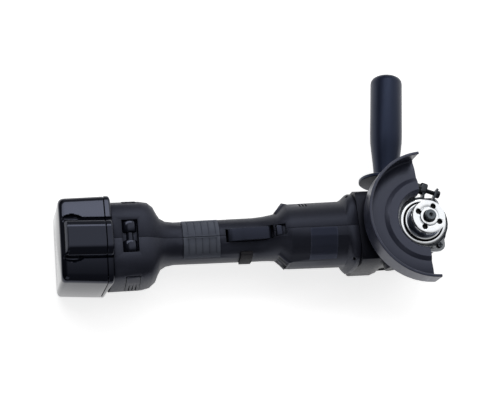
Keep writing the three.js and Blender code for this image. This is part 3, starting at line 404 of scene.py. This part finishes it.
# A blank rating plate: a thin black polyester film, stuck to the curve of the barrel ahead of
# the paddle.
plate_film = surface("black_polyester_film", "#2b2e3b", "#313441", 0.36, 1.0, 0.008,
                     Specular_IOR_Level=0.4, Specular_Tint="#bccaf8")
plate_length, plate_width, film_thickness, film_lift = 0.0246, 0.0250, 0.00025, 0.0003
above_the_barrel = 0.08
bpy.ops.mesh.primitive_grid_add(x_subdivisions=20, y_subdivisions=20, size=1,
                                location=(axle.x - 0.0921, axle.y - 0.0134, above_the_barrel))
film = bpy.context.object
film.name = "rating_plate"
film.scale = (plate_length, plate_width, 1)
bpy.ops.object.transform_apply(location=True, scale=True)
bpy.ops.object.modifier_add(type="SHRINKWRAP")
wrap = film.modifiers[-1]
wrap.target = bpy.data.objects["housing_shell_right"]
wrap.wrap_method = "PROJECT"
wrap.use_project_z = True
wrap.use_negative_direction = True
wrap.use_positive_direction = False
wrap.offset = film_lift
bpy.ops.object.modifier_apply(modifier=wrap.name)
bpy.ops.object.modifier_add(type="SOLIDIFY")
film.modifiers[-1].thickness = film_thickness
bpy.ops.object.modifier_apply(modifier=film.modifiers[-1].name)
smooth(film, 40)
put_on(film, plate_film, "body", "moulded_plastic")
dress(black_oxide, "case_screw_back_right", "case_screw_back_left", "case_screw_front_right",
      "case_screw_front_left")

# ---- Grip pads: thermoplastic rubber moulded over the underside of the handle, one on each
# ---- half, with five grooves across that keep the palm from sliding.
# Grey thermoplastic rubber: lighter and duller than the nylon round it.
rubber = surface("thermoplastic_rubber", "#4a4d56", "#52565f", 0.62, 0.7, 0.03,
                 Specular_IOR_Level=0.35, Specular_Tint="#c6d0f6")
for side in ("right", "left"):
    pad = joined_copy("grip_pad_" + side, "grip_skin_" + side)
    soften(pad, 0.35, 2, 40)
    smooth(pad)
    put_on(pad, rubber, "body", "soft_grip", "grip_pad_" + side)

# ---- Paddle switch: a nylon lever on a steel pin, with a slide in front of it that has to be
# ---- moved before it lets the lever down, and a lock button in the side of the barrel.
paddle = joined_copy("trigger_paddle", "paddle_lever")
paddle_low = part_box("trigger_paddle")[0]
# The lever's top climbs toward its rear end, by 0.4 mm in each mm.
climb_length, climb_slope, climb_limit, lever_middle = 0.009, 0.4, 0.0035, 0.0465
for corner in paddle.data.vertices:
    behind = paddle_low.x + climb_length - corner.co.x
    if behind > 0 and corner.co.z > lever_middle:
        corner.co.z += min(climb_limit, climb_slope * behind)
soften(paddle, 1.5, 5, 30)
smooth(paddle)
put_on(paddle, switch_nylon, "trigger", "switch_plastic", "trigger_paddle")
dress(ground_steel, "trigger_pin")


def pull_out(piece, far_end, offset):
    """Moves the corners that belong to one end of a piece, by an offset in metres."""
    only(piece)
    bpy.ops.object.mode_set(mode="EDIT")
    bpy.ops.mesh.select_mode(type="VERT")
    bpy.ops.mesh.select_all(action="DESELECT")
    bpy.ops.object.mode_set(mode="OBJECT")
    for corner in piece.data.vertices:
        corner.select = far_end(corner.co)
    bpy.ops.object.mode_set(mode="EDIT")
    bpy.ops.transform.translate(value=offset)
    bpy.ops.object.mode_set(mode="OBJECT")


def block(name, size, place, turned=(0, 0, 0)):
    """A block of a size at a place, turned by three angles. Metres and radians."""
    bpy.ops.mesh.primitive_cube_add(size=1, location=place, rotation=turned)
    piece = bpy.context.object
    piece.name = name
    piece.scale = size
    bpy.ops.object.transform_apply(location=True, rotation=True, scale=True)
    return piece


tab_low, tab_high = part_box("lock_off_tab")
tab_middle = (tab_low.x + tab_high.x) / 2
tab = joined_copy("lock_off_tab", "lock_off_slide")
tab_longer, tab_taller, tab_rim = 0.0017, 0.0026, 0.0005
pull_out(tab, lambda corner: corner.x > tab_middle, (tab_longer, 0, 0))
pull_out(tab, lambda corner: corner.z > tab_high.z - tab_rim, (0, 0, tab_taller))
soften(tab, 0.6, 3, 30)
smooth(tab)
put_on(tab, switch_nylon, "lock_off", "switch_plastic", "lock_off_tab")
# The slide's apron is a thin lip that lies along the slope of the barrel.
barrel_slope = math.atan(0.43)
apron = block("lock_off_apron", (0.0045, 0.012, 0.00055),
              (axle.x - 0.12655, axle.y, tab_high.z + 0.00145), (0, -barrel_slope, 0))
soften(apron, 0.15, 2, 30)
smooth(apron)
put_on(apron, nylon, "lock_off", "switch_plastic")
# Soft-touch black on the button: darker and duller than the lever.
soft_black = surface("soft_touch_black_nylon", "#121117", "#18171e", 0.6, 1.1, 0.02,
                     Specular_IOR_Level=0.22)
button = joined_copy("side_lock_button", "side_button_cap")
soften(button, 2.3, 5, 30)
smooth(button, 50)
put_on(button, soft_black, "side_button", "switch_plastic", "side_lock_button")

# ---- Dust shield: a flat nylon plate under the slide's slot that keeps grinding dust off the
# ---- commutator, clipped between the housing halves.
shield = block("dust_shield", (0.0107, 0.014, 0.001),
               (tab_middle + 0.002, axle.y, tab_low.z - 0.001))
soften(shield, 0.3, 2, 30)
put_on(shield, nylon, "body", "moulded_plastic")

# ---- Strap lug and release buttons: moulded pieces let into the foot, a lug of polished ABS on
# ---- a nylon base for a lanyard, and a nylon button on each side that lets the pack go.
# Piano-black ABS from a polished mould: deep black with mirror highlights on every edge.
polished_abs = surface("polished_abs", "#06070d", "#0a0c15", 0.09, 3.0, 0.003,
                       Specular_Tint="#d4dcfa")
low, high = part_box("strap_lug")
middle = (low + high) / 2
lug = turn("lanyard_lug", [(0, -14), (3.2, -14), (4.1, -13.3), (4.5, -12), (4.5, -4.7),
                           (4.2, -3.9), (3.4, -3.5), (2.4, -3.3), (2.3, 3.3), (3.4, 3.5),
                           (4.2, 3.9), (4.5, 4.7), (4.5, 12), (4.1, 13.3), (3.2, 14), (0, 14)],
           middle, axis=(0, 1, 0), steps=48)
# The lug's bar is oval: thicker along the tool than it is high.
oval = 1.38
bpy.ops.object.mode_set(mode="EDIT")
bpy.ops.mesh.select_all(action="SELECT")
bpy.ops.transform.resize(value=(oval, 1, 1), center_override=middle)
bpy.ops.object.mode_set(mode="OBJECT")
smooth(lug, 34)
put_on(lug, polished_abs, "body", "moulded_plastic", "strap_lug")
base = block("lug_base", (0.0132, 0.0290, 0.0024), (middle.x, middle.y, middle.z - 0.0008))
soften(base, 0.3, 2, 30)
smooth(base)
put_on(base, nylon, "body", "moulded_plastic")
for side in ("right", "left"):
    release = joined_copy("release_button_" + side, "release_cap_" + side)
    soften(release, 0.35, 2, 34)
    smooth(release)
    put_on(release, nylon, "release_" + side, "moulded_plastic", "release_button_" + side)

# ---- Battery pack: five pouch cells in foil, in a deep ABS case with three lobes along its
# ---- outside, closed by a lid at the tool's end.
# Aluminium laminate pouch: silver foil that puckers over the cell.
pouch_foil = surface("aluminium_laminate_pouch", "#a3a9b1", "#8f959d", 0.3, 7.0, 0.25,
                     Metallic=1.0)
dress(pouch_foil, "cell_1", "cell_2", "cell_3", "cell_4", "cell_5")


# The pack's own axes stand in the middle of its seat, tilted off the floor. Its sizes are in mm
# along them, with the case's rear, the seam and the lid measured ahead of the seat.
pack_tilt, behind_the_axle = math.radians(6), 0.2795
pack_bottom, lobe_height, case_rear = -29.3, 33.5, -45.5
seam, seam_slope, seam_gap = -4.6, 0.046, 0.15
lid_proud, lid_inside, lid_face = 0.35, -2.7, -0.3
side_walls, end_walls, rear_wall = (-34, 34), (-26.9, 28), -41.3
past_the_seam, past_the_lid = -20, 10
blades, blade_room, blade_heights = (-11, 0, 11), 1.2, (-5.2, 5.2)
pack_ahead = Vector((math.cos(pack_tilt), 0, -math.sin(pack_tilt)))
pack_up = Vector((math.sin(pack_tilt), 0, math.cos(pack_tilt)))
pack_seat = Vector((axle.x - behind_the_axle, axle.y,
                    -pack_bottom / 1000 * math.cos(pack_tilt)))


def pack_top(x, y):
    """Height of the pack's top: a lobe on each side, scooped out near its rear, and a ridge."""
    groove_depth, groove_out, groove_reach, groove_rear = 2.3, 16.3, 1.9, -38
    scoop_depth, scoop_out, scoop_reach, scoop_middle, scoop_length = 4.4, 17.2, 3.7, -34.6, 8
    ridge_foot, ridge_rise, ridge_out, ridge_reach, ridge_rear = 30.4, 7.0, 7.2, 9.2, -38.4
    y = abs(y)
    off_crown = max(0, y - 14)
    lobe = lobe_height - 0.12 * off_crown - 0.0018 * off_crown ** 2
    groove = (groove_depth * max(0, 1 - ((y - groove_out) / groove_reach) ** 2)
              * min(1, max(0, (x - groove_rear) / 4)))
    scoop = scoop_depth * math.sqrt(max(0, 1 - ((x - scoop_middle) / scoop_length) ** 2
                                        - ((y - scoop_out) / scoop_reach) ** 2))
    past = (max(0, (y - ridge_out) / ridge_reach) ** 3
            + max(0, (ridge_rear - x) / 3.2) ** 3) ** (1 / 3)
    ridge = ridge_foot + ridge_rise * math.sqrt(max(0, 1 - past ** 2)) if past < 1 else 0
    return max(lobe - max(groove, scoop), ridge)


def rounding(radius, distance):
    """How far a rounded edge has dropped away, at a distance from its end."""
    return radius - math.sqrt(max(0, radius ** 2 - max(0, radius - distance) ** 2))


def pack_ring(x, end, top_inset, side_inset, grow):
    """The pack's outline across it at one place, as points; end gives its x from a height."""
    shoulder, heel, half_width, taper = 6, 4, 39, 0.047
    half = half_width + x * taper - side_inset + grow
    lean = math.radians(9)
    flat = half - shoulder + shoulder * math.sin(lean)
    steps = [0, 1.8, 3.6, 5.4, 7.2, 8.8, 10.2, 11.4] + [12.4 + 0.4 * i for i in range(22)]
    steps += [21.6 + (flat - 21.6) * i / 5 for i in range(6)]
    ring = [(y, pack_top(x, y) - top_inset + grow) for y in steps]
    height = ring[-1][1] - shoulder * math.cos(lean)
    for step in range(1, 7):
        turned = lean + (math.pi / 2 - lean) * step / 6
        ring.append((half - shoulder + shoulder * math.sin(turned),
                     height + shoulder * math.cos(turned)))
    height = pack_bottom + side_inset
    for step in range(5):
        turned = math.pi / 2 * (1 + step / 4)
        ring.append((half - heel + heel * math.sin(turned),
                     height + heel + heel * math.cos(turned)))
    ring.append((0, height))
    ring += [(-y, z) for y, z in ring[-2:0:-1]] + [ring[0]]
    return [pack_seat + pack_ahead * end(z) / 1000 + Vector((0, y / 1000, 0)) + pack_up * z / 1000
            for y, z in ring]


def pack_skin(name, rings):
    """A grid bent round the pack through a list of outlines, joined up and closed at its ends."""
    bpy.ops.mesh.primitive_grid_add(x_subdivisions=len(rings[0]) - 1,
                                    y_subdivisions=len(rings) - 1, size=0.1)
    piece = bpy.context.object
    piece.name = name
    for corner, place in zip(piece.data.vertices, [point for ring in rings for point in ring]):
        corner.co = place
    bpy.ops.object.mode_set(mode="EDIT")
    bpy.ops.mesh.select_all(action="SELECT")
    bpy.ops.mesh.remove_doubles(threshold=1e-6)
    bpy.ops.mesh.select_all(action="DESELECT")
    bpy.ops.mesh.select_mode(type="EDGE")
    bpy.ops.mesh.select_non_manifold()
    bpy.ops.mesh.fill_holes(sides=0)
    bpy.ops.mesh.select_all(action="SELECT")
    bpy.ops.mesh.normals_make_consistent(inside=False)
    bpy.ops.mesh.select_mode(type="VERT")
    bpy.ops.object.mode_set(mode="OBJECT")
    return piece


def hollow(piece, x, y, z):
    """Cuts a room out of a piece of the pack. Its ranges are in mm along the pack's own axes."""
    middle = (pack_seat + pack_ahead * sum(x) / 2000 + Vector((0, sum(y) / 2000, 0))
              + pack_up * sum(z) / 2000)
    bpy.ops.mesh.primitive_cube_add(size=0.001, location=middle, rotation=(0, pack_tilt, 0))
    room = bpy.context.object
    room.scale = (x[1] - x[0], y[1] - y[0], z[1] - z[0])
    cut_out(piece, room)


# The case: its rear end falls away gently on top and is drawn in toward the bottom.
rings = []
for inward in (0, 0.25, 0.7, 1.3, 2.1, 3.0, 4.0, 5.2, 6.2, 7.0, 7.8, 8.6, 9.4, 10.2, 11.0, 12.0,
               13.0, 14.0, 15.0, 16.0, 17.0, 18.0, 19.2, 22, 26, 31, 36):
    place = case_rear + inward
    fall = rounding(1.4, inward) + 3.0 * max(0, 1 - inward / 7) ** 2
    rings.append(pack_ring(place, lambda z: place + 0.05 * (lobe_height - z)
                           * max(0, 1 - inward / 20), fall, rounding(4, inward), 0))
for inward in (0.9, 0.6, 0.35, 0.15, 0.05, 0):
    rings.append(pack_ring(-5, lambda z: seam - seam_gap - seam_slope * z - inward,
                           rounding(0.9, inward), rounding(0.9, inward), 0))
case = pack_skin("battery_shell", rings)
hollow(case, (rear_wall, past_the_lid), side_walls, end_walls)
smooth(case, 24)
put_on(case, polished_abs, "battery", "pack_plastic", "battery_case")

# The lid: it stands a little proud of the case all round, with a slot for each of the blades.
rings = []
for inward in (0, 0.05, 0.15, 0.3, 0.5):
    rings.append(pack_ring(-5, lambda z: seam - seam_slope * z + inward,
                           rounding(0.5, inward), rounding(0.5, inward), lid_proud))
for inward in (2.4, 1.8, 1.3, 0.8, 0.4, 0.12, 0):
    rings.append(pack_ring(-3, lambda z: lid_face - inward, rounding(2.4, inward),
                           rounding(3, inward), lid_proud))
lid = pack_skin("battery_cap", rings)
hollow(lid, (past_the_seam, lid_inside), side_walls, end_walls)
for blade in blades:
    hollow(lid, (past_the_seam, past_the_lid), (blade - blade_room, blade + blade_room),
           blade_heights)
smooth(lid, 24)
put_on(lid, polished_abs, "battery", "pack_plastic", "battery_lid")

# ---- Wheel guard: 1.8 mm steel sheet, pressed into a stepped half disc with a rolled rim and
# ---- painted dark grey, riveted to a split band that the clamp tightens round the neck.
# Painted steel sheet: a dark satin enamel, slightly blue, with a fine orange peel.
enamel = surface("satin_enamel_on_sheet", "#2d2f3c", "#353846", 0.34, 3.0, 0.012,
                 Specular_IOR_Level=0.7, Specular_Tint="#d6dcf4")
low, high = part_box("guard")
guard = turn("wheel_guard", [(23.7, 0), (25.5, 0), (25.5, 8.8), (28, 14.2), (35.8, 14.2),
                             (39.5, 12), (47.5, 12), (54, 10.2), (56.6, 10.9), (57.5, 12.6),
                             (57.5, 31), (57.1, 31.5), (55.5, 31.5), (55, 31.1), (55, 30.3),
                             (55.7, 29.9), (55.7, 13.4), (55.1, 12.4), (53.8, 12), (47.3, 13.8),
                             (38.7, 13.8), (35, 16), (27.4, 16), (26.7, 15.5), (23.9, 9.6),
                             (23.7, 9), (23.7, 0)],
             (axle.x, axle.y, low.z), steps=160)
# The front half is sheared away, a little behind the axle and a little askew.
shear_behind, shear_turn = 0.0025, math.radians(2.5)
only(guard)
bpy.ops.object.mode_set(mode="EDIT")
bpy.ops.mesh.select_all(action="SELECT")
bpy.ops.mesh.bisect(plane_co=(axle.x - shear_behind, axle.y, low.z),
                    plane_no=(math.cos(shear_turn), math.sin(shear_turn), 0), use_fill=True,
                    clear_outer=True)
bpy.ops.object.mode_set(mode="OBJECT")
soften(guard, 0.4, 2, 40)
smooth(guard, 24)
put_on(guard, enamel, "guard_unit", "painted_sheet", "guard")
band = joined_copy("guard_band", "guard_clamp_band")
soften(band, 0.4, 2, 34)
smooth(band)
put_on(band, black_oxide, "guard_unit", "dark_steel", "guard_band")
dress(black_oxide, "clamp_screw")

# The far ear carries a cast cam block, and a wing nut draws the ears together. The screw runs
# square to the gap between the ears, which opens 69 degrees round from straight ahead.
pull = math.radians(69 - 90)
screw_line = Vector((math.cos(pull), math.sin(pull), 0))
screw_low, screw_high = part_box("clamp_screw")
cam_place = (screw_low + screw_high) / 2 - screw_line * 0.0042
cam = block("clamp_cam_block", (0.0072, 0.0098, 0.0078), cam_place, (0, 0, pull))
soften(cam, 1.7, 3, 30)
smooth(cam, 40)
put_on(cam, black_oxide, "guard_unit", "dark_steel")
nut_low, nut_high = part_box("clamp_nut")
nut_place = (nut_low + nut_high) / 2 - screw_line * 0.0006
bpy.ops.mesh.primitive_cylinder_add(vertices=6, radius=0.0036, depth=0.0034, location=nut_place)
wing = bpy.context.object
wing.name = "clamp_wing_nut"
wing.rotation_euler = screw_line.to_track_quat("Z", "Y").to_euler()
bpy.ops.object.transform_apply(location=True, rotation=True)
soften(wing, 0.4, 2, 30)
smooth(wing, 40)
put_on(wing, black_oxide, "guard_unit", "dark_steel", "clamp_nut")

# ---- Side handle: a moulded nylon grip over a steel stud, with a wide collar that keeps the
# ---- hand off the guard. The stud screws into the boss of the gear case.
# Moulded grip nylon: blue-black, smoother than the housing.
grip_nylon = surface("moulded_grip_nylon", "#171c2b", "#1d2232", 0.38, 1.4, 0.02,
                     Specular_IOR_Level=0.4, Specular_Tint="#b4c6f6")
stud_low, stud_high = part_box("side_handle_stud")
forward_lean, stud_behind = math.radians(8), 0.029
along = Vector((math.sin(forward_lean), math.cos(forward_lean), 0))
across = Vector((math.cos(forward_lean), -math.sin(forward_lean), 0))
foot = Vector((axle.x - stud_behind, axle.y, (stud_low.z + stud_high.z) / 2))
grip = turn("side_handle_body", [(4.3, 36.5), (9, 36.5), (9.4, 43.4), (24.4, 43.4), (25, 43.9),
                                 (25, 46), (24.4, 46.6), (12.6, 47), (11.6, 48.4), (11.3, 50.4),
                                 (11.4, 54), (11.9, 60), (12.8, 68), (13.9, 77), (14.6, 84),
                                 (14.8, 92), (14.8, 142.6), (14.4, 145.2), (13.2, 147.2),
                                 (11, 148.7), (7, 149.5), (0, 149.8), (0, 70), (4.3, 70),
                                 (4.3, 36.5)], foot, axis=along, side=across, steps=96)
smooth(grip, 26)
put_on(grip, grip_nylon, "side_handle", "moulded_plastic", "side_handle_grip")
dress(zinc_plate, "side_handle_stud")

# ---- Stage: a pale matt floor in a white surround that is brighter behind the tool and dimmer
# ---- in front of it, as a studio tent is, with a soft box at the back and a fill in front.
bpy.ops.mesh.primitive_plane_add(size=6, location=(0, 0, 0))
floor = bpy.context.object
floor.name = "studio_floor"
# White background paper: matt. It is lifted to white where it is seen directly or mirrored.
paper = bpy.data.materials.new("white_paper")
paper.use_nodes = True
tree = paper.node_tree
path = add_node(tree, "ShaderNodeLightPath")
mirror = add_node(tree, "ShaderNodeMath", {"operation": "MAXIMUM"},
                  {0: path.outputs["Is Camera Ray"], 1: path.outputs["Is Glossy Ray"]})
matt = tree.nodes["Principled BSDF"]
matt.inputs["Base Color"].default_value = linear("#f2f2f2")
matt.inputs["Roughness"].default_value = 0.9
glow = add_node(tree, "ShaderNodeEmission", None, {"Color": (1, 1, 1, 1), "Strength": 0.75})
lift = add_node(tree, "ShaderNodeAddShader", None, {0: matt.outputs[0], 1: glow.outputs[0]})
pick = add_node(tree, "ShaderNodeMixShader", None,
                {0: mirror.outputs[0], 1: matt.outputs[0], 2: lift.outputs[0]})
tree.links.new(pick.outputs[0], tree.nodes["Material Output"].inputs["Surface"])
floor.data.materials.append(paper)

# The surround is white to the eye. What reaches the tool is brightest from above and behind
# it, and falls off toward the front, the far wall and the pack's end.
world = bpy.data.worlds.new("white_surround")
bpy.context.scene.world = world
world.use_nodes = True
tree = world.node_tree
path = add_node(tree, "ShaderNodeLightPath")
clear = add_node(tree, "ShaderNodeMath", {"operation": "MAXIMUM"},
                 {0: path.outputs["Is Camera Ray"], 1: path.outputs["Is Transmission Ray"]})
direction = add_node(tree, "ShaderNodeTexCoord").outputs["Generated"]
facing = add_node(tree, "ShaderNodeVectorMath", {"operation": "DOT_PRODUCT"},
                  {0: direction, 1: (0, 0.98, 0.2)})
front = add_node(tree, "ShaderNodeMapRange", {"interpolation_type": "SMOOTHSTEP"},
                 {"Value": facing.outputs["Value"], "From Min": 0.0, "From Max": 0.42,
                  "To Min": 0.1, "To Max": 1.0})
far = add_node(tree, "ShaderNodeMapRange", {"interpolation_type": "SMOOTHSTEP"},
               {"Value": facing.outputs["Value"], "From Min": 0.62, "From Max": 0.92,
                "To Min": 1.0, "To Max": 0.3})
walls = add_node(tree, "ShaderNodeMath", {"operation": "MULTIPLY"},
                 {0: front.outputs["Result"], 1: far.outputs["Result"]})
toward_pack = add_node(tree, "ShaderNodeVectorMath", {"operation": "DOT_PRODUCT"},
                       {0: direction, 1: (-1, 0, 0)})
rear = add_node(tree, "ShaderNodeMapRange", {"interpolation_type": "SMOOTHSTEP"},
                {"Value": toward_pack.outputs["Value"], "From Min": 0.05, "From Max": 0.5,
                 "To Min": 1.0, "To Max": 0.12})
tent = add_node(tree, "ShaderNodeMath", {"operation": "MULTIPLY"},
                {0: walls.outputs[0], 1: rear.outputs["Result"]})
level = add_node(tree, "ShaderNodeMapRange", None,
                 {"Value": path.outputs["Is Glossy Ray"], "To Min": 0.95, "To Max": 1.15})
light = add_node(tree, "ShaderNodeMath", {"operation": "MULTIPLY"},
                 {0: tent.outputs[0], 1: level.outputs["Result"]})
white = add_node(tree, "ShaderNodeMix", None,
                 {0: clear.outputs[0], 2: light.outputs[0], 3: 1.0})
tree.nodes["Background"].inputs["Color"].default_value = (1, 1, 1, 1)
tree.links.new(white.outputs[0], tree.nodes["Background"].inputs["Strength"])


def soft_box(name, place, aim, size, power):
    """A rectangular lamp at a place, turned to face an aim. Metres and watts."""
    light = bpy.data.lights.new(name, "AREA")
    light.shape = "RECTANGLE"
    light.size, light.size_y = size
    light.energy = power
    lamp = bpy.data.objects.new(name, light)
    lamp.location = place
    lamp.rotation_euler = (Vector(aim) - Vector(place)).to_track_quat("-Z", "Y").to_euler()
    bpy.context.scene.collection.objects.link(lamp)


soft_box("soft_box_back", (-0.15, 0.68, 0.97), (-0.05, 0, 0.03), (1.6, 0.3), 4.4)
soft_box("soft_box_front", (-0.5, -0.8, 0.8), (0, 0, 0.03), (0.7, 0.7), 1)

# The camera: a long lens, a metre above the tool and on its right. Its three angles
# tip it up from straight down, roll it and swing it round, in degrees.
eye = bpy.data.cameras.new("camera")
eye.lens = 82.8
eye.sensor_width = 36
camera = bpy.data.objects.new("camera", eye)
camera_place = Vector((-0.2077, -0.3118, 1.0074))
camera_angles = (18.016, -10.278, -5.704)
camera.matrix_world = Matrix.LocRotScale(
    camera_place, Euler([math.radians(angle) for angle in camera_angles]), None)
bpy.context.scene.collection.objects.link(camera)
bpy.context.scene.camera = camera
bpy.context.scene.view_settings.view_transform = "Standard"
